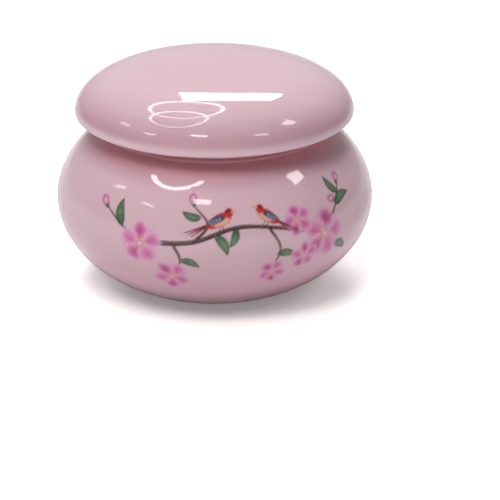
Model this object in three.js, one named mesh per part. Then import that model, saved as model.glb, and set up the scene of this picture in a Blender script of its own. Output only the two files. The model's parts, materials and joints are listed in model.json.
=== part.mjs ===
// A small porcelain powder jar: a round-bellied bowl, and a domed lid that lifts straight off.
// Millimetres, +Z up. The origin is on the jar's axis, in the plane that it stands on.
import * as THREE from 'three';

// The bowl, outside
const bellyRadius = 23;        // widest radius of the jar
const bellyHeight = 13.3;      // height of that widest circle
const lowerDepth = 14.9;       // how far the curve below the belly would reach if it ran to the axis
const lowerFullness = 2.03;    // 2 is an ellipse, and more is squarer
const upperRise = 15.6;        // how far the shoulder curve would rise if it ran to the axis
const upperFullness = 1.92;

// The foot ring
const footHeight = 0.35;       // where the belly curve stops above the table
const footOuter = 10.9;
const footInner = 9.1;
const recessRadius = 8.5;      // the hollow that the foot ring surrounds
const recessHeight = 0.8;

// The mouth and the inside of the bowl
const seatHeight = 24.55;      // top of the mouth rim, which carries the lid
const seatOuter = 14.7;
const rimRound = 0.75;         // width of the rounding on both sides of the rim
const mouthRadius = 12.6;
const neckBottom = 22.6;       // where the mouth wall opens into the belly
const insideRadius = 19;
const insideFloor = 4.2;

// The lid
const lidRadius = 20.2;        // widest radius of the lid
const lidTop = 33;
const lidEdgeHeight = 26.15;   // height of that widest circle
const domeAcross = 2.86;       // fullness of the dome across the lid
const domeUp = 2.02;           // fullness of the dome up the axis
const lidUnderside = 24.87;    // flat ring that meets the seat, 0.32 above it
const flatOuter = 13.6;        // where the flat ring starts to curl up to the edge
const ringOuter = 12;          // ring that drops into the mouth, 0.6 clear all round
const ringInner = 9.8;
const ringBottom = 21.9;
const hollowEdge = 26.2;       // hollow of the lid, at the ring
const hollowTop = 27.9;        // hollow of the lid, on the axis

const turns = 72;              // facets around
const glazePink = 0xd9b4bf;

const point = (radius, height) => new THREE.Vector2(radius, height);

// Angles in equal steps, both ends included: a whole right angle, unless told where to start and stop.
const quarterAngles = (steps, from = 0, to = Math.PI / 2) =>
  Array.from({ length: steps + 1 }, (_, i) => from + ((to - from) * i) / steps);

// A quarter of a superellipse. At angle 0 it is `across` from its centre, and at a right angle it is `up` from it.
function quarterCurve(centre, across, up, fullnessAcross, fullnessUp, angles) {
  return angles.map((angle) => point(
    centre.x + across * Math.cos(angle) ** (2 / fullnessAcross),
    centre.y + up * Math.sin(angle) ** (2 / fullnessUp),
  ));
}

// The angle at which a quarter curve has gone `fraction` of the way up its axis.
const angleAt = (fraction, fullness) => Math.asin(fraction ** (fullness / 2));

// Turns an outline, from the axis round to the axis, into a closed solid that stands along +Z.
function turned(name, outline) {
  const geometry = new THREE.LatheGeometry(outline, turns);
  geometry.rotateX(Math.PI / 2);
  const glaze = new THREE.MeshStandardMaterial({ color: glazePink, roughness: 0.15, metalness: 0 });
  const mesh = new THREE.Mesh(geometry, glaze);
  mesh.name = name;
  return mesh;
}

function jarBody() {
  const belly = point(0, bellyHeight);
  const lowest = angleAt((bellyHeight - footHeight) / lowerDepth, lowerFullness);
  const highest = angleAt((seatHeight - rimRound - bellyHeight) / upperRise, upperFullness);
  const shoulderEnd = bellyRadius * Math.cos(highest) ** (2 / upperFullness);

  const lowerCurve = quarterCurve(
    belly, bellyRadius, -lowerDepth, lowerFullness, lowerFullness, quarterAngles(12, lowest, 0));
  const upperCurve = quarterCurve(
    belly, bellyRadius, upperRise, upperFullness, upperFullness, quarterAngles(9, 0, highest)).slice(1);
  const outerRound = quarterCurve(
    point(seatOuter, seatHeight - rimRound), shoulderEnd - seatOuter, rimRound, 2, 2, quarterAngles(3)).slice(1);
  const innerRound = quarterCurve(
    point(mouthRadius + rimRound, seatHeight - rimRound), -rimRound, rimRound, 2, 2, quarterAngles(3)).reverse();

  // Inside, the wall is an ellipse above the belly that passes through the foot of the mouth wall.
  const neckShare = Math.sqrt(1 - (mouthRadius / insideRadius) ** 2);
  const insideRise = (neckBottom - bellyHeight) / neckShare;
  const insideUpper = quarterCurve(
    belly, insideRadius, insideRise, 2, 2, quarterAngles(7, Math.asin(neckShare), 0));
  const insideLower = quarterCurve(
    belly, insideRadius, insideFloor - bellyHeight, 2, 2, quarterAngles(10)).slice(1, -1);

  return turned('jar_body', [
    point(0, recessHeight),
    point(recessRadius, recessHeight),
    point(footInner, 0),
    point(footOuter, 0),
    ...lowerCurve,
    ...upperCurve,
    ...outerRound,
    ...innerRound,
    ...insideUpper,
    ...insideLower,
    point(0, insideFloor),
  ]);
}

function lid() {
  const edge = point(0, lidEdgeHeight);
  const curl = quarterCurve(
    point(flatOuter, lidEdgeHeight), lidRadius - flatOuter, lidUnderside - lidEdgeHeight,
    2, 2, quarterAngles(6)).reverse();
  const dome = quarterCurve(
    edge, lidRadius, lidTop - lidEdgeHeight, domeAcross, domeUp, quarterAngles(14)).slice(1, -1);
  const hollow = quarterCurve(
    point(0, hollowEdge), ringInner, hollowTop - hollowEdge, 2, 2, quarterAngles(5)).slice(0, -1).reverse();

  return turned('lid', [
    point(0, hollowTop),
    ...hollow,
    point(ringInner, ringBottom),
    point(ringOuter, ringBottom),
    point(ringOuter, lidUnderside),
    ...curl,
    ...dome,
    point(0, lidTop),
  ]);
}

const powderJar = new THREE.Group();
powderJar.add(jarBody(), lid());

export default powderJar;
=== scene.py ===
import json
import math

import bpy
import numpy as np
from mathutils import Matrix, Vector

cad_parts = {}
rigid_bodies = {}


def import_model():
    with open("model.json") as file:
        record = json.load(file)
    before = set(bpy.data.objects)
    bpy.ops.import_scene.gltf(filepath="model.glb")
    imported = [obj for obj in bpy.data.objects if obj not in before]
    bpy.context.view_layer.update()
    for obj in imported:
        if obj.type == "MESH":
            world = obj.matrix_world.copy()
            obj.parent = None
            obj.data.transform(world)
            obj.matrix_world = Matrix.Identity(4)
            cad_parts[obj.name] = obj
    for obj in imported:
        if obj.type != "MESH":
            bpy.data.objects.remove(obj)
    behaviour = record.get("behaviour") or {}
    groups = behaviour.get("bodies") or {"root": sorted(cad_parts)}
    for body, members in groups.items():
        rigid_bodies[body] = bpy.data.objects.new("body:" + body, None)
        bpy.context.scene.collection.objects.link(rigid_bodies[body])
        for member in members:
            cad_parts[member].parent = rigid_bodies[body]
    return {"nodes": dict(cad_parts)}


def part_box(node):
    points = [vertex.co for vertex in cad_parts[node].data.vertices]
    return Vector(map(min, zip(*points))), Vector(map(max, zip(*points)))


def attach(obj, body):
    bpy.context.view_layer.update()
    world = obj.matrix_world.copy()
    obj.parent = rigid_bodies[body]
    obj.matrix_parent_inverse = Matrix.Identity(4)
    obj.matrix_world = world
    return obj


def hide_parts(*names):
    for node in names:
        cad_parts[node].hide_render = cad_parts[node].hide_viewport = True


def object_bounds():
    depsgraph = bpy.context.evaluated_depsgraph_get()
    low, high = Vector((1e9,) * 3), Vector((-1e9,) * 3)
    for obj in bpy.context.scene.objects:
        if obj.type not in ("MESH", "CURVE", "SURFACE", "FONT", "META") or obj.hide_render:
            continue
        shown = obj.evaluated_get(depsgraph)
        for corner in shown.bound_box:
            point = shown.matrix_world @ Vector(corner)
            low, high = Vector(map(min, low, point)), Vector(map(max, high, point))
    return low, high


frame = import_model()
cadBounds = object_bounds()
mm = 0.001
print("frame loaded:", sorted(frame["nodes"]))


# outlines are arrays of (radius, height) in millimetres


def quarterCurve(centre, across, up, fullnessAcross, fullnessUp, angles):
    # a quarter of a superellipse: centre + (across cos^(2/fullnessAcross), up sin^(2/fullnessUp))
    angles = np.asarray(angles, float)
    return np.column_stack([
        centre[0] + across * np.abs(np.cos(angles)) ** (2 / fullnessAcross),
        centre[1] + up * np.abs(np.sin(angles)) ** (2 / fullnessUp),
    ])


def angleAt(share, fullness):
    # the angle at which a quarter curve has gone this share of the way up
    return math.asin(share ** (fullness / 2))


def evenly(outline, spacing):
    # the same outline with its points moved to equal steps of arc length, about spacing apart
    steps = np.hypot(*np.diff(outline, axis=0).T)
    walked = np.concatenate([[0], np.cumsum(steps)])
    count = max(2, int(round(walked[-1] / spacing)) + 1)
    wanted = np.linspace(0, walked[-1], count)
    return np.column_stack([np.interp(wanted, walked, column) for column in outline.T])


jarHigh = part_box("jar_body")[1]
lidLow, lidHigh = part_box("lid")

jar = {
    "bellyRadius": jarHigh.x / mm,
    "bellyHeight": 13.3,
    "lowerDepth": 14.9,
    "lowerFullness": 2.03,
    "upperRise": 15.6,
    "upperFullness": 1.92,
    "footHeight": 0.35,
    "footOuter": 10.9,
    "footInner": 9.1,
    "recessRadius": 8.5,
    "recessHeight": 0.8,
    "seatHeight": jarHigh.z / mm,
    "seatOuter": 14.7,
    "rimRound": 0.75,
    "mouthRadius": 12.6,
    "neckBottom": 22.6,
    "insideRadius": 19.0,
    "insideFloor": 4.2,
    "printLeft": -52,          # degrees of fine grid each side of the front, where the print is
    "printRight": 68,
    "frontStep": 0.42,         # degrees
    "backStep": 3.0,
    "printBottom": -9.6,       # mm along the outline, from the belly
    "printSpacing": 0.165,     # mm between rows under the print
    "plainSpacing": 0.55,
}


def outerCurves(j):
    # the belly in two superellipse quarters: from the foot up to the belly, and from the belly up to the rim
    belly = (0, j["bellyHeight"])
    lowest = angleAt((j["bellyHeight"] - j["footHeight"]) / j["lowerDepth"], j["lowerFullness"])
    rimRise = j["seatHeight"] - j["rimRound"] - j["bellyHeight"]
    highest = angleAt(rimRise / j["upperRise"], j["upperFullness"])
    lower = quarterCurve(belly, j["bellyRadius"], -j["lowerDepth"], j["lowerFullness"], j["lowerFullness"],
                         np.linspace(lowest, 0, 2000))
    upper = quarterCurve(belly, j["bellyRadius"], j["upperRise"], j["upperFullness"], j["upperFullness"],
                         np.linspace(0, highest, 2000))
    return lower, upper


lowerOuter, upperOuter = outerCurves(jar)
outerLine = np.vstack([lowerOuter, upperOuter[1:]])
outerWalk = np.concatenate([[0], np.cumsum(np.hypot(*np.diff(outerLine, axis=0).T))])
outerWalk -= outerWalk[len(lowerOuter) - 1]          # 0 at the belly, positive up the shoulder


def meshFrom(name, points, faces, slots=None):
    # points in mm as an array, faces as rows of vertex numbers
    mesh = bpy.data.meshes.new(name)
    mesh.from_pydata((points * mm).tolist(), [], faces)
    if slots is not None:
        mesh.polygons.foreach_set("material_index", slots)
    mesh.polygons.foreach_set("use_smooth", np.ones(len(mesh.polygons), bool))
    mesh.validate()
    mesh.update()
    piece = bpy.data.objects.new(name, mesh)
    bpy.context.scene.collection.objects.link(piece)
    return piece


def spun(name, outline, turns, slotOfRow):
    # a closed solid of revolution: an outline from the axis round to the axis, carried round a circle.
    # point(i, j) = (radius_i sin turn_j, -radius_i cos turn_j, height_i) and a vertex on the axis at each end
    rings = outline[1:-1]
    count, columns = len(rings), len(turns)
    ring = np.stack([
        rings[:, :1] * np.sin(turns)[None, :],
        -rings[:, :1] * np.cos(turns)[None, :],
        np.repeat(rings[:, 1:], columns, 1),
    ], -1).reshape(-1, 3)
    points = np.vstack([ring, [[0, 0, outline[0, 1]], [0, 0, outline[-1, 1]]]])
    index = np.arange(count * columns).reshape(count, columns)
    nextIndex = np.roll(index, -1, 1)
    quads = np.stack([index[:-1], nextIndex[:-1], nextIndex[1:], index[1:]], -1).reshape(-1, 4)
    firstEnd, lastEnd = count * columns, count * columns + 1
    startFan = np.stack([np.full(columns, firstEnd), nextIndex[0], index[0]], -1)
    endFan = np.stack([np.full(columns, lastEnd), index[-1], nextIndex[-1]], -1)
    faces = startFan.tolist() + quads.tolist() + endFan.tolist()
    slots = np.concatenate([
        np.full(columns, slotOfRow[0]), np.repeat(slotOfRow[1:-1], columns), np.full(columns, slotOfRow[-1]),
    ]).astype(np.int32)
    return meshFrom(name, points, faces, slots)


def joined(parts):
    # stretches (outline, spacing, material slot) as one outline, and the slot of each row of faces
    rows, slots = [], []
    for outline, spacing, slot in parts:
        piece = evenly(outline, spacing)
        if rows and np.hypot(*(rows[-1][-1] - piece[0])) < 1e-3:
            piece = piece[1:]
        slots += [slot] * len(piece)
        rows.append(piece)
    return np.vstack(rows), np.array(slots[1:])


def jarTurns(j):
    # turns round the jar, in radians: fine steps across the printed front, coarse steps behind
    front = np.arange(j["printLeft"], j["printRight"], j["frontStep"])
    back = np.arange(j["printRight"], 360 + j["printLeft"] - j["backStep"] / 2, j["backStep"])
    return np.radians(np.concatenate([front, back]))


def makeJarBody(j):
    neckShare = math.sqrt(1 - (j["mouthRadius"] / j["insideRadius"]) ** 2)
    insideRise = (j["neckBottom"] - j["bellyHeight"]) / neckShare
    belly = (0, j["bellyHeight"])
    shoulderEnd = upperOuter[-1, 0]
    rimLevel = j["seatHeight"] - j["rimRound"]
    printStart = int(np.searchsorted(outerWalk, j["printBottom"]))
    biscuit, glaze = 1, 0
    parts = [
        (np.array([[0, j["recessHeight"]], [j["recessRadius"] - 0.3, j["recessHeight"]]]), 1.6, glaze),
        (quarterCurve((j["recessRadius"] - 0.3, j["recessHeight"] / 2), 0.4, j["recessHeight"] / 2, 2, 2,
                      np.linspace(math.pi / 2, 0, 40)), 0.12, glaze),
        (quarterCurve((j["footInner"] + 0.15, 0.25), -0.35, -0.25, 2, 2,
                      np.linspace(0, math.pi / 2, 40)), 0.1, biscuit),
        (np.array([[j["footInner"] + 0.15, 0], [j["footOuter"] - 0.2, 0]]), 0.3, biscuit),
        (quarterCurve((j["footOuter"] - 0.2, 0.2), 0.3, -0.2, 2, 2,
                      np.linspace(math.pi / 2, 0, 40)), 0.1, biscuit),
        (lowerOuter[:printStart + 1], j["plainSpacing"] * 0.6, glaze),
        (lowerOuter[printStart:], j["printSpacing"], glaze),
        (upperOuter, j["printSpacing"], glaze),
        (quarterCurve((j["seatOuter"], rimLevel), shoulderEnd - j["seatOuter"], j["rimRound"], 2, 2,
                      np.linspace(0, math.pi / 2, 60)), 0.12, glaze),
        (np.array([[j["seatOuter"], j["seatHeight"]], [j["mouthRadius"] + j["rimRound"], j["seatHeight"]]]),
         0.25, biscuit),
        (quarterCurve((j["mouthRadius"] + j["rimRound"], rimLevel), -j["rimRound"], j["rimRound"], 2, 2,
                      np.linspace(math.pi / 2, 0, 60)), 0.12, glaze),
        (np.array([[j["mouthRadius"], rimLevel], [j["mouthRadius"], j["neckBottom"] + 0.2]]), 0.4, glaze),
        (quarterCurve(belly, j["insideRadius"], insideRise, 2, 2,
                      np.linspace(math.asin(neckShare) - 0.01, 0, 300)), j["plainSpacing"] * 2, glaze),
        (quarterCurve(belly, j["insideRadius"], j["insideFloor"] - j["bellyHeight"], 2, 2,
                      np.linspace(0, math.pi / 2, 300)), j["plainSpacing"] * 2, glaze),
    ]
    outline, slotOfRow = joined(parts)
    return spun("jar_body_glazed", outline, jarTurns(j), slotOfRow)


body = makeJarBody(jar)
print("jar body:", len(body.data.polygons), "faces")
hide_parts("jar_body")
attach(body, "jar")

cover = {
    "radius": lidHigh.x / mm,
    "top": lidHigh.z / mm,
    "edgeHeight": 26.15,
    "domeAcross": 2.86,
    "domeUp": 2.02,
    "underside": 24.87,
    "flatOuter": 13.6,
    "ringOuter": 12.0,
    "ringInner": 9.8,
    "ringBottom": lidLow.z / mm,
    "hollowEdge": 26.2,
    "hollowTop": 27.9,
    "fillet": 0.35,
    "aroundStep": 1.2,       # degrees
}


def makeLid(c):
    biscuit, glaze = 1, 0
    f = c["fillet"]
    corner = np.linspace(0, math.pi / 2, 30)
    parts = [
        (quarterCurve((0, c["hollowEdge"]), c["ringInner"], c["hollowTop"] - c["hollowEdge"], 2, 2,
                      np.linspace(math.pi / 2, 0, 300)), 0.6, glaze),
        (np.array([[c["ringInner"], c["hollowEdge"]], [c["ringInner"], c["ringBottom"] + f]]), 0.4, glaze),
        (quarterCurve((c["ringInner"] + f, c["ringBottom"] + f), -f, -f, 2, 2, corner), 0.1, glaze),
        (quarterCurve((c["ringOuter"] - f, c["ringBottom"] + f), f, -f, 2, 2, corner[::-1]), 0.1, glaze),
        (np.array([[c["ringOuter"], c["ringBottom"] + f], [c["ringOuter"], c["underside"] - f]]),
         0.3, biscuit),
        (quarterCurve((c["ringOuter"] + f, c["underside"] - f), -f, f, 2, 2, corner), 0.1, biscuit),
        (np.array([[c["ringOuter"] + f, c["underside"]], [c["flatOuter"], c["underside"]]]), 0.2, biscuit),
        (quarterCurve((c["flatOuter"], c["edgeHeight"]), c["radius"] - c["flatOuter"],
                      c["underside"] - c["edgeHeight"], 2, 2, np.linspace(math.pi / 2, 0, 800)), 0.16, glaze),
        (quarterCurve((0, c["edgeHeight"]), c["radius"], c["top"] - c["edgeHeight"],
                      c["domeAcross"], c["domeUp"], np.linspace(0, math.pi / 2, 3000)), 0.22, glaze),
    ]
    outline, slotOfRow = joined(parts)
    turns = np.radians(np.arange(0, 360, c["aroundStep"]))
    return spun("lid_glazed", outline, turns, slotOfRow)


lid = makeLid(cover)
print("lid:", len(lid.data.polygons), "faces")
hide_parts("lid")
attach(lid, "cover")


def albedo(code):
    # a colour code as linear red, green, blue, as bright under even light as it is written
    srgb = np.array([int(code[i:i + 2], 16) for i in (1, 3, 5)]) / 255
    linear = np.where(srgb <= 0.04045, srgb / 12.92, ((srgb + 0.055) / 1.055) ** 2.4)
    return np.clip(linear * printLook["lift"] - printLook["haze"], 0.003, 1)


printLook = {
    "lift": 1.0,
    "haze": 0.004,        # what the shine of the glaze adds over dark ink, taken off beforehand
    "leafRim": 0.6,       # how much darker a leaf is at its rim
    "rimWidth": 0.16,     # mm
    "wobble": 0.16,       # how far a petal's edge wanders, as a share of its radius
    "petalSoftness": 0.6,
}


def smooth(x):
    # 0 below 0, 1 above 1, and 3x^2 - 2x^3 between
    x = np.clip(x, 0, 1)
    return x * x * (3 - 2 * x)


def through(points, closed=False, fine=5):
    # a curve through the points: Catmull-Rom, p(t) = 0.5(2b + (c-a)t + (2a-5b+4c-d)t^2 + (3b-3c+d-a)t^3)
    points = np.asarray(points, float)
    if closed:
        p = np.vstack([points[-1:], points, points[:2]])
    else:
        p = np.vstack([2 * points[:1] - points[1:2], points, 2 * points[-1:] - points[-2:-1]])
    a, b, c, d = p[:-3, None], p[1:-2, None], p[2:-1, None], p[3:, None]
    t = (np.arange(fine) / fine)[None, :, None]
    curve = 0.5 * (2 * b + (c - a) * t + (2 * a - 5 * b + 4 * c - d) * t ** 2
                   + (3 * b - 3 * c + d - a) * t ** 3)
    curve = curve.reshape(-1, points.shape[1])
    return curve if closed else np.vstack([curve, points[-1:]])


def toSegments(place, curve):
    # distance from each place to each segment of the curve, and how far along the segment the foot lies
    start, step = curve[:-1, :2], np.diff(curve[:, :2], axis=0)
    away = place[:, None] - start[None]
    share = np.clip((away * step).sum(-1) / np.maximum((step * step).sum(-1), 1e-12), 0, 1)
    return np.linalg.norm(away - share[..., None] * step, axis=-1), share


class PrintSheet:
    # the paint on the outside of the jar, kept for each vertex: colour times cover, and cover

    def __init__(self, around, up):
        self.place = np.column_stack([around, up])
        self.colour = np.zeros((len(around), 3))
        self.cover = np.zeros(len(around))

    def near(self, points, margin):
        low, high = points.min(0) - margin, points.max(0) + margin
        return np.flatnonzero(((self.place >= low) & (self.place <= high)).all(1))

    def over(self, where, colour, cover):
        # new paint on top: c' = c (1 - a) + colour a
        self.colour[where] = self.colour[where] * (1 - cover[:, None]) + colour * cover[:, None]
        self.cover[where] = self.cover[where] * (1 - cover) + cover

    def stroke(self, points, colours, softness, strength, rim=0.0):
        # a brush stroke: cover = smooth(0.5 + (half width - distance) / softness), darker towards its rim
        curve = through(points)
        curve[:, 2] = np.maximum(curve[:, 2], 0.02)
        where = self.near(curve[:, :2], curve[:, 2].max() + softness)
        if not len(where):
            return
        distance, share = toSegments(self.place[where], curve)
        width = curve[:-1, 2] + share * np.diff(curve[:, 2])
        inside = width - distance
        best = inside.argmax(1)
        row = np.arange(len(where))
        along = (best + share[row, best]) / (len(curve) - 1)
        ramp = np.array([albedo(code) for code in colours.split()])
        stops = np.linspace(0, 1, len(ramp))
        colour = np.column_stack([np.interp(along, stops, ramp[:, i]) for i in range(3)])
        colour = colour * (1 - rim * smooth(1 - inside[row, best] / printLook["rimWidth"]))[:, None]
        self.over(where, colour, strength * smooth(0.5 + inside[row, best] / softness))

    def patch(self, outline, colour, softness, strength, rim=0.0):
        # a filled outline: cover = smooth(0.5 + signed distance / softness), darker towards its rim
        ring = through(outline, closed=True)
        ring = np.vstack([ring, ring[:1]])
        where = self.near(ring, softness)
        distance, share = toSegments(self.place[where], ring)
        x, y = self.place[where].T
        (xa, ya), (xb, yb) = ring[:-1].T, ring[1:].T
        rising = (ya[None] > y[:, None]) != (yb[None] > y[:, None])
        height = np.where(yb == ya, 1e-12, yb - ya)
        left = x[:, None] < xa + (y[:, None] - ya) * (xb - xa) / height
        signed = distance.min(1) * np.where((rising & left).sum(1) % 2 == 1, 1, -1)
        shade = albedo(colour) * (1 - rim * smooth(1 - signed / printLook["rimWidth"]))[:, None]
        self.over(where, shade, strength * smooth(0.5 + signed / softness))

    def petal(self, around, up, across, tall, tilt, inner, edge, strength, seed):
        # a watercolour petal: an ellipse whose radius wanders, r = |(x / across, y / tall)| / wander,
        # its colour inner + (edge - inner) r^2 and its cover smooth((1.4 - r) / softness)
        where = self.near(np.array([[around, up]]), 1.9 * max(across, tall) + 0.3)
        x, y = (self.place[where] - (around, up)).T
        turn = math.radians(tilt)
        x, y = x * math.cos(turn) + y * math.sin(turn), y * math.cos(turn) - x * math.sin(turn)
        angle = np.arctan2(y / tall, x / across)
        w = printLook["wobble"]
        wander = 1 + w * (0.5 * np.sin(2 * angle + seed) + 0.3 * np.sin(3 * angle + 2.1 * seed)
                          + 0.25 * np.sin(5 * angle + 3.7 * seed) + 0.15 * np.sin(9 * angle + 5.3 * seed))
        r = np.hypot(x / across, y / tall) / wander
        vein = 1 + 0.10 * np.sin(13 * angle + seed) * np.clip(r, 0, 1)
        mix = np.clip(r, 0, 1)[:, None] ** 2
        colour = albedo(inner) * (1 - mix) + albedo(edge) * mix
        cover = strength * vein * smooth((1.4 - r) / printLook["petalSoftness"])
        self.over(where, np.clip(colour, 0, 1), np.clip(cover, 0, 1))


blossomLook = {
    "petals": 5,
    "reach": 0.56,        # where the middle of a petal lies, as a share of the blossom's size
    "petalAcross": 0.44,
    "petalTall": 0.38,
    "pale": "#d6a4be",
    "rose": "#c8609c",
    "deep": "#b43484",
    "heart": "#dcc0bc",
    "stamens": 7,
    "gold": "#c89a58",
}
leafLook = {"green": "#243c2c #4c7450 #2c4c38", "rib": "#a4b496", "ribHalf": 0.03}
branchLook = {"bark": "#2c2022 #4c3030", "lit": "#866258"}
birdLook = {
    "red": "#b83838",
    "crown": "#8c2830",
    "belly": "#d8a890",
    "wing": "#3c4458",
    "feather": "#8c98a8",
    "tail": "#3c3440 #a03438",
    "beak": "#d09848",
    "ink": "#28222a",
    "feathers": 4,
}


def turned(around, up, size, turn, x, y):
    # a motif's own (x, y) to the sheet: turned by the angle, times the size, plus the place
    c, s = math.cos(math.radians(turn)), math.sin(math.radians(turn))
    return around + size * (x * c - y * s), up + size * (x * s + y * c)


def blossom(sheet, around, up, size, turn):
    # ellipses on spokes at equal angles, a fold along each spoke, and a ring of short stamens
    b = blossomLook
    spokes = turn + 360 * np.arange(b["petals"]) / b["petals"]
    sheet.petal(around, up, 0.7 * size, 0.7 * size, 0, b["pale"], b["rose"], 0.5, turn)
    for i, spoke in enumerate(spokes):
        x, y = turned(around, up, size, spoke, b["reach"], 0)
        edge = b["deep"] if i % 2 else b["rose"]
        across, tall = size * b["petalAcross"], size * b["petalTall"]
        sheet.petal(x, y, across, tall, spoke, edge, b["pale"], 0.85, i + turn)
    t = np.linspace(0, 1, 4)
    for spoke in spokes:
        x, y = turned(around, up, size, spoke, 0.25 + 0.6 * t, 0.06 * np.sin(math.pi * t))
        sheet.stroke(np.column_stack([x, y, 0.03 * size * (1 - t)]), b["deep"], 0.25, 0.6)
    sheet.petal(around, up, 0.15 * size, 0.15 * size, 0, b["heart"], b["rose"], 0.8, 0)
    for spoke in turn + 360 * np.arange(b["stamens"]) / b["stamens"]:
        x, y = turned(around, up, size, spoke, 0.08 + 0.24 * t, 0)
        sheet.stroke(np.column_stack([x, y, size * (0.012 + 0.03 * t ** 3)]), b["gold"], 0.12, 0.85)


def bud(sheet, around, up, size, turn):
    # one petal on a short green cup
    b = blossomLook
    x, y = turned(around, up, size, turn, 0.9, 0)
    sheet.petal(x, y, 0.6 * size, 0.42 * size, turn, b["pale"], b["deep"], 0.9, turn)
    leaf(sheet, around, up, 0.7 * size, 0.4 * size, turn)


def leaf(sheet, around, up, length, width, heading, bow=0.12):
    # a stroke along the bow y = bow sin(pi t), its half width width / 2 sin(pi t^0.8), and a pale rib
    t = np.linspace(0, 1, 7)
    x, y = turned(around, up, length, heading, t, bow * np.sin(math.pi * t))
    half = 0.5 * width * np.sin(math.pi * t ** 0.8)
    sheet.stroke(np.column_stack([x, y, half]), leafLook["green"], 0.2, 0.95, printLook["leafRim"])
    rib = np.full(len(t), leafLook["ribHalf"])
    sheet.stroke(np.column_stack([x, y, rib])[:-1], leafLook["rib"], 0.12, 0.6)


def branch(sheet, thick, thin, *points):
    # a stroke that thins evenly from thick to thin, and a lit line at 0.4 of its half width above the middle
    points = np.array(points, float)
    half = 0.5 * np.linspace(thick, thin, len(points))
    sheet.stroke(np.column_stack([points, half]), branchLook["bark"], 0.2, 0.95)
    points[:, 1] += 0.4 * half
    sheet.stroke(np.column_stack([points, 0.3 * half]), branchLook["lit"], 0.2, 0.6)


def bird(sheet, around, up, size, turn, facing):
    # ovals and strokes in the bird's own units, turned as a whole and mirrored by facing
    b = birdLook

    def place(x, y):
        c, s = math.cos(math.radians(turn)), math.sin(math.radians(turn))
        return around + facing * size * (x * c - y * s), up + size * (x * s + y * c)

    def oval(x, y, across, tall, tilt, colour, softness=0.16):
        # an egg: (across cos a, tall sin a (1 + 0.25 cos a)), tilted
        a = np.linspace(0, 2 * math.pi, 14, endpoint=False)
        u, v = turned(x, y, 1, tilt, across * np.cos(a), tall * np.sin(a) * (1 + 0.25 * np.cos(a)))
        sheet.patch(np.column_stack(place(u, v)), colour, softness, 0.95)

    def brush(x, y, half, colours, softness=0.14):
        x, y, half = np.broadcast_arrays(x, y, size * np.asarray(half))
        sheet.stroke(np.column_stack([*place(x, y), half]), colours, softness, 0.92)

    t = np.linspace(0, 1, 5)
    for i in range(3):
        brush(-0.7 - (1.9 - 0.25 * i) * t, -0.1 - (0.25 + 0.16 * i) * t, 0.09 * (1 - 0.6 * t), b["tail"])
    for x in (-0.05, 0.2):
        brush(x + 0.05 * t, -0.4 - 0.35 * t, 0.03, b["ink"])
    oval(0, 0, 1.0, 0.46, 12, b["red"])
    oval(0.25, -0.17, 0.6, 0.22, 12, b["belly"], 0.5)
    oval(0.88, 0.42, 0.34, 0.31, 0, b["red"])
    oval(0.82, 0.56, 0.24, 0.14, 8, b["crown"], 0.2)
    oval(-0.2, 0.1, 0.72, 0.25, 8, b["wing"])
    for i in range(b["feathers"]):
        brush(0.2 - (1.1 - 0.12 * i) * t, 0.22 - 0.09 * i - 0.12 * t, 0.022, b["feather"])
    brush(1.14 + 0.36 * t, 0.42 - 0.06 * t, 0.09 * (1 - t), b["beak"])
    oval(0.98, 0.48, 0.06, 0.06, 0, b["ink"], 0.1)


# places are (mm around, mm up) from the middle of the front; sizes in mm, angles in degrees
printLayout = {
    "branches": [          # thick end, thin end, places
        (0.9, 0.4, (-12, 0.5), (-8, 0.5), (-3, 1), (3, 3), (9, 2.5), (16, 0.5)),
        (0.45, 0.2, (-11, 0.5), (-14, 2), (-17, 4)),
        (0.5, 0.2, (-6, 0.5), (-5, -2), (-6.5, -4.5)),
        (0.5, 0.2, (-3, 1), (-1, 3.5), (-3, 6)),
        (0.45, 0.2, (8, 2.5), (9.5, -0.5), (8.5, -3.5)),
        (0.4, 0.2, (15, 0.5), (19, 2.5), (22, 6)),
    ],
    "leaves": [            # place, length, width, heading
        (-14, 2, 4, 1.6, 100), (-12, 1.5, 3.5, 1.4, -80), (-5, -2, 3, 1.2, -20), (0, 2, 3.5, 1.4, -60),
        (3, 3, 3, 1.2, -110), (-2, 4.5, 3, 1.2, 165), (9, -1.5, 3, 1.2, -10), (19, -2, 3.5, 1.4, -30),
        (20, 3.5, 4, 1.5, 15), (21.5, 5, 3.5, 1.3, 120),
    ],
    "blossoms": [          # place, size, turn
        (-11, 0, 3.2, 20), (-6.5, -5, 2.8, 50), (17, 0, 3.8, 5), (12.5, 3, 2.4, 35), (8.5, -4.5, 2.2, 60),
        (13.5, -2.5, 2.2, 20),
    ],
    "buds": [(-3, 6, 1.3, 110), (22, 6, 1.3, 65), (-17, 4, 1.4, 140), (20.5, 4, 1.2, 150)],
    "birds": [(0.5, 4, 2, 12, 1), (8, 4.2, 1.8, 22, -1)],   # place, size, turn, facing
}


def outsidePlaces(mesh):
    # vertices of the outside wall, and their places as (around, up)
    points = np.empty(len(mesh.vertices) * 3)
    mesh.vertices.foreach_get("co", points)
    points = points.reshape(-1, 3) / mm
    radius = np.hypot(points[:, 0], points[:, 1])
    up = np.interp(points[:, 2], outerLine[:, 1], outerWalk)
    onWall = np.abs(radius - np.interp(up, outerWalk, outerLine[:, 0])) < 0.05
    onWall &= (points[:, 2] > jar["footHeight"] + 0.1) & (points[:, 2] < outerLine[-1, 1] + 0.01)
    around = np.arctan2(points[:, 0], -points[:, 1]) * jar["bellyRadius"]
    return np.flatnonzero(onWall), around[onWall], up[onWall]


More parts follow.
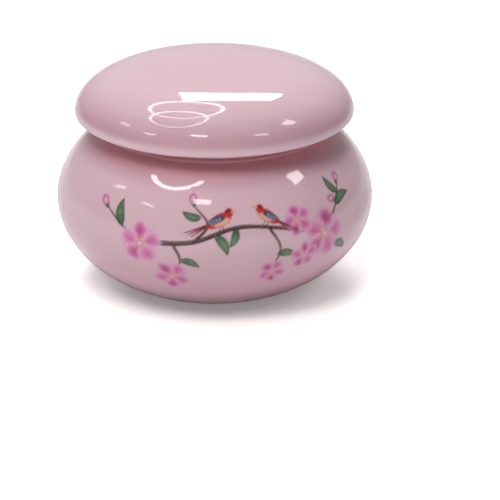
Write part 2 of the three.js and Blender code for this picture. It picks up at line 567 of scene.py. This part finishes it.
def paintPrint(piece):
    wall, around, up = outsidePlaces(piece.data)
    sheet = PrintSheet(around, up)
    motifs = {"branches": branch, "leaves": leaf, "blossoms": blossom, "buds": bud, "birds": bird}
    for places, draw in motifs.items():
        for place in printLayout[places]:
            draw(sheet, *place)
    colour = np.zeros((len(piece.data.vertices), 4))
    colour[wall, :3] = sheet.colour / np.maximum(sheet.cover, 1e-4)[:, None]
    colour[wall, 3] = sheet.cover
    layer = piece.data.color_attributes.new("print", "FLOAT_COLOR", "POINT")
    layer.data.foreach_set("color", colour.ravel())
    print("print painted on", len(wall), "vertices")


paintPrint(body)


glazeLook = {
    "mottleScale": 90.0,
    "mottled": (0.955, 0.93, 0.935, 1),
    "roughness": 0.035,
    "rippleScale": 120.0,
    "rippleHeight": 0.000008,
}
# glaze colour by height in mm: the pink is the glaze's own colour, and its changes with height are painted
# light and shade: painted shadow of the lid on the jar's shoulder, painted contact shadow near the foot, and
# on the lid a paler painted reflection just above its edge with painted shade above that
# painted shade on the jar: the lid's shadow, deeper and redder, on the shoulder from 21.4 mm up, and contact
# shadow over the lowest 6 mm
jarGlazeAndPaintedShade = {
    0.4: (0.50, 0.32, 0.37), 2.8: (0.50, 0.31, 0.35), 4.2: (0.53, 0.31, 0.36),
    5.7: (0.60, 0.37, 0.44), 7.5: (0.645, 0.405, 0.475), 10.0: (0.655, 0.435, 0.495),
    14.0: (0.64, 0.44, 0.49), 20.6: (0.63, 0.43, 0.485), 21.4: (0.58, 0.375, 0.43),
    22.2: (0.575, 0.33, 0.385), 23.0: (0.68, 0.32, 0.36), 24.5: (0.70, 0.33, 0.37),
}
# painted light and shade on the lid: the paler band from 26.1 to 26.6 mm is a painted reflection, and the
# darker band from 27 to 30 mm is painted shade
lidGlazeWithPaintedLightAndShade = {
    21.9: (0.60, 0.39, 0.45), 26.1: (0.69, 0.48, 0.54), 26.6: (0.68, 0.48, 0.54),
    26.95: (0.61, 0.405, 0.46), 27.4: (0.54, 0.325, 0.375), 28.2: (0.545, 0.33, 0.38),
    28.9: (0.57, 0.36, 0.415), 29.6: (0.58, 0.385, 0.44), 30.5: (0.61, 0.415, 0.47),
    32.0: (0.62, 0.432, 0.488), 33.0: (0.62, 0.42, 0.475),
}


def glazeMaterial(name, look, glazeAndShadeByHeight, printed):
    # glossy pink glaze: a colour for each height, which carries painted light and shade, with slow mottling,
    # the print over it, and a faint ripple
    material = bpy.data.materials.new(name)
    material.use_nodes = True
    nodes, links = material.node_tree.nodes, material.node_tree.links
    shader = nodes["Principled BSDF"]
    shader.inputs["Roughness"].default_value = look["roughness"]
    shader.inputs["IOR"].default_value = 1.52
    place = nodes.new("ShaderNodeTexCoord")
    split = nodes.new("ShaderNodeSeparateXYZ")
    links.new(place.outputs["Object"], split.inputs[0])
    heights = sorted(glazeAndShadeByHeight)
    share = nodes.new("ShaderNodeMapRange")
    share.inputs["From Min"].default_value = heights[0] * mm
    share.inputs["From Max"].default_value = heights[-1] * mm
    links.new(split.outputs["Z"], share.inputs["Value"])
    # the ramp holds the glaze's own pink with painted shade and painted light by height
    ramp = nodes.new("ShaderNodeValToRGB")
    stops = ramp.color_ramp.elements
    for number, height in enumerate(heights):
        position = (height - heights[0]) / (heights[-1] - heights[0])
        stop = stops[number] if number < 2 else stops.new(position)
        stop.position = position
        stop.color = (*glazeAndShadeByHeight[height], 1)
    links.new(share.outputs["Result"], ramp.inputs["Fac"])
    mottle = nodes.new("ShaderNodeTexNoise")
    mottle.inputs["Scale"].default_value = look["mottleScale"]
    mottle.inputs["Detail"].default_value = 3
    links.new(place.outputs["Object"], mottle.inputs["Vector"])
    mottled = nodes.new("ShaderNodeMix")
    mottled.data_type = "RGBA"
    mottled.blend_type = "MULTIPLY"
    links.new(mottle.outputs["Fac"], mottled.inputs["Factor"])
    links.new(ramp.outputs["Color"], mottled.inputs["A"])
    mottled.inputs["B"].default_value = look["mottled"]
    surface = mottled.outputs["Result"]
    if printed:
        ink = nodes.new("ShaderNodeAttribute")
        ink.attribute_name = "print"
        laid = nodes.new("ShaderNodeMix")
        laid.data_type = "RGBA"
        links.new(ink.outputs["Alpha"], laid.inputs["Factor"])
        links.new(surface, laid.inputs["A"])
        links.new(ink.outputs["Color"], laid.inputs["B"])
        surface = laid.outputs["Result"]
    links.new(surface, shader.inputs["Base Color"])
    ripple = nodes.new("ShaderNodeTexNoise")
    ripple.inputs["Scale"].default_value = look["rippleScale"]
    ripple.inputs["Detail"].default_value = 1
    links.new(place.outputs["Object"], ripple.inputs["Vector"])
    bump = nodes.new("ShaderNodeBump")
    bump.inputs["Distance"].default_value = look["rippleHeight"]
    bump.inputs["Strength"].default_value = 1
    links.new(ripple.outputs["Fac"], bump.inputs["Height"])
    links.new(bump.outputs["Normal"], shader.inputs["Normal"])
    return material


biscuitLook = {
    "roughness": 0.8,
    "speckScale": 2600.0,
    "speckShades": ((0.30, (0.60, 0.53, 0.46)), (0.42, (0.76, 0.70, 0.63)), (0.75, (0.82, 0.77, 0.71))),
    "grainScale": 5200.0,
    "grainHeight": 0.00002,
}


def biscuitMaterial(look):
    # bare fired clay: fine specks a third of a millimetre apart, and a finer grain that can be felt
    material = bpy.data.materials.new("bare_biscuit")
    material.use_nodes = True
    nodes, links = material.node_tree.nodes, material.node_tree.links
    shader = nodes["Principled BSDF"]
    shader.inputs["Roughness"].default_value = look["roughness"]
    place = nodes.new("ShaderNodeTexCoord")
    speck = nodes.new("ShaderNodeTexNoise")
    speck.inputs["Scale"].default_value = look["speckScale"]
    speck.inputs["Detail"].default_value = 4
    links.new(place.outputs["Object"], speck.inputs["Vector"])
    ramp = nodes.new("ShaderNodeValToRGB")
    stops = ramp.color_ramp.elements
    for number, (position, shade) in enumerate(look["speckShades"]):
        stop = stops[number] if number < 2 else stops.new(position)
        stop.position = position
        stop.color = (*shade, 1)
    links.new(speck.outputs["Fac"], ramp.inputs["Fac"])
    links.new(ramp.outputs["Color"], shader.inputs["Base Color"])
    grain = nodes.new("ShaderNodeTexNoise")
    grain.inputs["Scale"].default_value = look["grainScale"]
    links.new(place.outputs["Object"], grain.inputs["Vector"])
    bump = nodes.new("ShaderNodeBump")
    bump.inputs["Distance"].default_value = look["grainHeight"]
    bump.inputs["Strength"].default_value = 1
    links.new(grain.outputs["Fac"], bump.inputs["Height"])
    links.new(bump.outputs["Normal"], shader.inputs["Normal"])
    return material


biscuit = biscuitMaterial(biscuitLook)
glazed = ((body, "printed_glaze", jarGlazeAndPaintedShade, True), (lid, "pink_glaze", lidGlazeWithPaintedLightAndShade, False))
for piece, name, glazeAndShadeByHeight, printed in glazed:
    piece.data.materials.append(glazeMaterial(name, glazeLook, glazeAndShadeByHeight, printed))
    piece.data.materials.append(biscuit)


stage = {
    "sheetHalf": 0.33,         # m, half the side of the two sheets that light the jar
    "seenHalf": 3.0,           # m, half the side of the floor that is seen
    "lightColour": (0.85, 0.83, 0.83, 1),
    "lightGlow": 0.09,
    "shineColour": (0.70, 0.70, 0.72, 1),
    "shineGlow": 0.04,
    "seenColour": (1.0, 0.985, 0.965, 1),
    "seenGlow": 0,
    "glowAndContactShadowSteps": (             # from and to in m, the glow at each, and how it grows
        # the first step keeps the glow low close round the foot: a painted contact shadow on the floor
        (0.0125, 0.0175, 0.20, 0.33, "SMOOTHSTEP"),
        (0.14, 0.45, 0, 0.6, "LINEAR"),
    ),
    "wallRadius": 1.6,         # m
    "wallHeight": 3.0,
    "wallSides": 64,
    "wallGlow": 1.0,
    "ringSides": 96,
    "lampAim": (0, 0, 0.025),  # the place that every card and ring faces
}


def panel(name, corners, strength, colour=(1, 1, 1, 1)):
    # a flat glowing card, seen in reflections and by the light it gives, not by the camera
    mesh = bpy.data.meshes.new(name)
    mesh.from_pydata([tuple(c) for c in corners], [], [tuple(range(len(corners)))])
    card = bpy.data.objects.new(name, mesh)
    bpy.context.scene.collection.objects.link(card)
    glow = bpy.data.materials.new(name)
    glow.use_nodes = True
    nodes = glow.node_tree.nodes
    nodes.clear()
    emission = nodes.new("ShaderNodeEmission")
    emission.inputs["Color"].default_value = colour
    emission.inputs["Strength"].default_value = strength
    output = nodes.new("ShaderNodeOutputMaterial")
    glow.node_tree.links.new(emission.outputs[0], output.inputs["Surface"])
    mesh.materials.append(glow)
    card.visible_camera = False
    return card


def towards(azimuth, elevation):
    # unit vector: azimuth 0 is the front, 90 the right; elevation above the horizon; degrees
    a, e = math.radians(azimuth), math.radians(elevation)
    return Vector((math.sin(a) * math.cos(e), -math.cos(a) * math.cos(e), math.sin(e)))


def axesAt(azimuth, elevation, roll):
    # a card's own directions: towards the card, to its side and up it, the last two turned by roll
    facing = towards(azimuth, elevation)
    side = facing.cross(Vector((0, 0, 1))).normalized()
    upward = side.cross(facing).normalized()
    turn = math.radians(roll)
    return (facing, side * math.cos(turn) + upward * math.sin(turn),
            upward * math.cos(turn) - side * math.sin(turn))


def cardAt(name, azimuth, elevation, distance, width, height, strength, roll=0.0, taper=1.0, lean=0.0):
    # a card whose face looks at the jar; taper is how high its left end is beside its right end, and lean is
    # how far its upper edge is moved to the right, and its lower edge to the left
    facing, side, upward = axesAt(azimuth, elevation, roll)
    centre = Vector(stage["lampAim"]) + facing * distance
    corners = [centre + side * (sx * width / 2 + (lean if sy > 0 else -lean)) + upward * (sy * height / 2)
               for sx, sy in ((-1, -taper), (1, -1), (1, 1), (-1, taper))]
    return panel(name, corners, strength)


def ringAt(name, azimuth, elevation, distance, across, tall, thickness, roll, strength):
    # a flat oval glowing ring that looks at the jar
    facing, side, upward = axesAt(azimuth, elevation, roll)
    centre = Vector(stage["lampAim"]) + facing * distance
    sides = stage["ringSides"]
    turn = np.linspace(0, 2 * np.pi, sides, endpoint=False)
    sideArray, upArray, centreArray = (np.array(v) for v in (side, upward, centre))
    points = np.vstack([
        centreArray + np.cos(turn)[:, None] * sideArray * (across + edge)
        + np.sin(turn)[:, None] * upArray * (tall + edge) for edge in (-thickness / 2, thickness / 2)])
    inner = np.arange(sides)
    following = np.roll(inner, -1)
    faces = np.stack([inner, following, following + sides, inner + sides], -1).tolist()
    card = panel(name, [(0, 0, 0), (1, 0, 0), (0, 1, 0)], strength)
    card.data.clear_geometry()
    card.data.from_pydata(points.tolist(), [], faces)
    return card


def paleFloor(material, s):
    # the seen floor's own glow by distance from the jar's axis: least under the belly, which is a painted
    # contact shadow, then even, and growing again far away so that the far end stays pale; from below, the
    # floor can be looked through
    nodes, links = material.node_tree.nodes, material.node_tree.links
    shader = nodes["Principled BSDF"]
    place = nodes.new("ShaderNodeTexCoord")
    length = nodes.new("ShaderNodeVectorMath")
    length.operation = "LENGTH"
    links.new(place.outputs["Object"], length.inputs[0])
    parts = []
    for start, end, low, high, shape in s["glowAndContactShadowSteps"]:
        step = nodes.new("ShaderNodeMapRange")
        step.interpolation_type = shape
        for socket, value in (("From Min", start), ("From Max", end), ("To Min", low), ("To Max", high)):
            step.inputs[socket].default_value = value
        links.new(length.outputs["Value"], step.inputs["Value"])
        parts.append(step.outputs["Result"])
    both = nodes.new("ShaderNodeMath")
    both.operation = "ADD"
    links.new(parts[0], both.inputs[0])
    links.new(parts[1], both.inputs[1])
    links.new(both.outputs[0], shader.inputs["Emission Strength"])
    side = nodes.new("ShaderNodeNewGeometry")
    clear = nodes.new("ShaderNodeBsdfTransparent")
    either = nodes.new("ShaderNodeMixShader")
    links.new(side.outputs["Backfacing"], either.inputs[0])
    links.new(shader.outputs[0], either.inputs[1])
    links.new(clear.outputs[0], either.inputs[2])
    links.new(either.outputs[0], nodes["Material Output"].inputs["Surface"])


def makeBackdrop(s):
    # a plain pale wall all round, that only the camera sees
    sides = s["wallSides"]
    turn = np.linspace(0, 2 * np.pi, sides, endpoint=False)
    ring = np.stack([np.cos(turn), np.sin(turn)], -1) * s["wallRadius"]
    points = np.vstack([np.column_stack([ring, np.full(sides, z)]) for z in (-0.01, s["wallHeight"])])
    inner = np.arange(sides)
    following = np.roll(inner, -1)
    faces = np.stack([following, inner, inner + sides, following + sides], -1).tolist()
    wall = panel("backdrop", [(0, 0, 0), (1, 0, 0), (0, 1, 0)], s["wallGlow"])
    wall.data.clear_geometry()
    wall.data.from_pydata(points.tolist(), [], faces)
    wall.visible_camera = True
    wall.visible_glossy = wall.visible_diffuse = wall.visible_shadow = False


def floorSheet(name, half, height, colour, glow):
    mesh = bpy.data.meshes.new(name)
    corners = [(sx * half, sy * half, height) for sx, sy in ((-1, -1), (1, -1), (1, 1), (-1, 1))]
    mesh.from_pydata(corners, [], [(0, 1, 2, 3)])
    floor = bpy.data.objects.new(name, mesh)
    bpy.context.scene.collection.objects.link(floor)
    material = bpy.data.materials.new(name)
    material.use_nodes = True
    shader = material.node_tree.nodes["Principled BSDF"]
    shader.inputs["Base Color"].default_value = colour
    shader.inputs["Roughness"].default_value = 0.9
    shader.inputs["Specular IOR Level"].default_value = 0.1
    shader.inputs["Emission Color"].default_value = (1, 1, 1, 1)
    shader.inputs["Emission Strength"].default_value = glow
    mesh.materials.append(material)
    return floor


def makeFloor(s):
    # three sheets: one that lights the jar from below, one that shows in its glaze and ends a little way off,
    # and the white floor that the camera sees, with the jar's shadow on it and a painted contact shadow in
    # its glow close round the foot
    light = floorSheet("floor_light", s["sheetHalf"], -0.0002, s["lightColour"], s["lightGlow"])
    light.visible_camera = light.visible_glossy = light.visible_shadow = False
    shine = floorSheet("floor_shine", s["sheetHalf"], -0.0001, s["shineColour"], s["shineGlow"])
    shine.visible_camera = shine.visible_diffuse = shine.visible_shadow = False
    seen = floorSheet("floor_seen", s["seenHalf"], 0, s["seenColour"], s["seenGlow"])
    seen.visible_glossy = seen.visible_diffuse = seen.visible_shadow = False
    paleFloor(seen.data.materials[0], s)


makeFloor(stage)
makeBackdrop(stage)

# name: azimuth, elevation, width, height, roll, strength, taper, lean; degrees, and metres at lampDistance
lidCards = {
    "strip_light": (175, 44.3, 0.30, 0.115, -1.5, 30, 1.3, -0.003),
    "lid_card_far_left": (-98, 41, 0.13, 0.10, -20, 5, 1, 0),
    "lid_card_left": (-65, 42, 0.14, 0.07, -25, 8, 1, 0),
    "lid_card_front": (-19, 60, 0.165, 0.09, 0, 11, 1, 0),
    "lid_card_right": (51, 50, 0.15, 0.07, 20, 8, 1, 0),
    "lid_card_far_right": (98, 52.5, 0.15, 0.15, 2, 7, 1, -0.035),
}
jarCards = {
    "jar_card_far_left": (-89, 34, 0.14, 0.05, -30, 5, 1, 0),
    "jar_card_left": (-56, 33, 0.14, 0.04, 0, 6, 1, 0),
    "jar_card_front": (-12, 47.6, 0.18, 0.09, 0, 9, 1, 0),
    "jar_card_right": (90.7, 45.9, 0.175, 0.15, 6, 9, 1, -0.022),
}
# name: azimuth, elevation, half width, half height, thickness, roll, strength
lidRings = {
    "lid_ring_near": (-160.6, 61.8, 0.172, 0.213, 0.022, 42, 8),
    "lid_ring_far": (-124.3, 71.7, 0.255, 0.182, 0.024, -8, 8),
}
jarRings = {
    "jar_ring": (-62.5, 68.8, 0.235, 0.235, 0.055, 0, 12),
}
keys = {
    # soft cards that light the jar but don't show in its glaze
    "key_front": (-20, 55, 0.40, 0.40, 0, 14.3),
    "key_above": (-60, 76, 0.45, 0.45, 0, 2.7),
    "key_behind": (175, 46, 0.45, 0.35, 0, 12.8),
}
lampDistance = 0.9


def only(card, piece):
    # the card shows in the glaze of this piece and nowhere else, and lights nothing
    card.visible_diffuse = False
    shownIn = bpy.data.collections.new(card.name)
    shownIn.objects.link(piece)
    card.light_linking.receiver_collection = shownIn


for cards, piece in ((lidCards, lid), (jarCards, body)):
    for name, (azimuth, elevation, width, height, roll, strength, taper, lean) in cards.items():
        only(cardAt(name, azimuth, elevation, lampDistance, width, height, strength, roll, taper, lean),
             piece)
for circles, piece in ((lidRings, lid), (jarRings, body)):
    for name, (azimuth, elevation, across, tall, thickness, roll, strength) in circles.items():
        only(ringAt(name, azimuth, elevation, lampDistance, across, tall, thickness, roll, strength), piece)
for name, (azimuth, elevation, width, height, roll, strength) in keys.items():
    cardAt(name, azimuth, elevation, lampDistance, width, height, strength, roll).visible_glossy = False

room = {"base": 0.003, "left": 0.006, "right": 0.03, "front": 0.007, "back": 0.56, "above": 0.012}


def makeWorld(r):
    # soft room light: base + a share that grows with the cosine towards each side
    world = bpy.data.worlds.new("room")
    bpy.context.scene.world = world
    world.use_nodes = True
    nodes, links = world.node_tree.nodes, world.node_tree.links
    nodes.clear()
    coordinate = nodes.new("ShaderNodeTexCoord")
    split = nodes.new("ShaderNodeSeparateXYZ")
    links.new(coordinate.outputs["Generated"], split.inputs[0])
    sides = {"left": ("X", -1), "right": ("X", 1), "front": ("Y", -1), "back": ("Y", 1), "above": ("Z", 1)}
    total = None
    for name, (axis, sign) in sides.items():
        lobe = nodes.new("ShaderNodeMath")
        lobe.name = "lobe_" + name
        lobe.operation = "MULTIPLY"
        lobe.inputs[1].default_value = sign
        links.new(split.outputs[axis], lobe.inputs[0])
        kept = nodes.new("ShaderNodeMath")
        kept.operation = "MAXIMUM"
        kept.inputs[1].default_value = 0
        links.new(lobe.outputs[0], kept.inputs[0])
        share = nodes.new("ShaderNodeMath")
        share.name = "share_" + name
        share.operation = "MULTIPLY_ADD"
        share.inputs[1].default_value = r[name]
        links.new(kept.outputs[0], share.inputs[0])
        if total is None:
            share.inputs[2].default_value = r["base"]
        else:
            links.new(total, share.inputs[2])
        total = share.outputs[0]
    background = nodes.new("ShaderNodeBackground")
    output = nodes.new("ShaderNodeOutputWorld")
    links.new(total, background.inputs["Color"])
    links.new(background.outputs[0], output.inputs["Surface"])


makeWorld(room)
print("stage set")


view = {
    "elevation": 20.19,       # degrees above the horizon
    "distance": 0.5,          # m
    "lens": 246.9,            # mm, on a 36 mm sensor
    "lookRight": 0.0051,      # m: the camera aims to the right of the jar's middle, and below it
    "lookBelow": 0.0115,
}


def makeCamera(v):
    middle = Vector((0, 0, (cadBounds[0].z + cadBounds[1].z) / 2))
    back = towards(0, v["elevation"])
    right = Vector((1, 0, 0))
    upward = back.cross(right)
    data = bpy.data.cameras.new("camera")
    data.lens = v["lens"]
    data.sensor_width = 36
    data.clip_start, data.clip_end = 0.01, 10
    camera = bpy.data.objects.new("camera", data)
    bpy.context.scene.collection.objects.link(camera)
    camera.location = middle + back * v["distance"]
    aim = middle + right * v["lookRight"] - upward * v["lookBelow"]
    camera.rotation_euler = (aim - camera.location).to_track_quat("-Z", "Y").to_euler()
    bpy.context.scene.camera = camera
    return camera


makeCamera(view)
bpy.context.scene.view_settings.view_transform = "Standard"
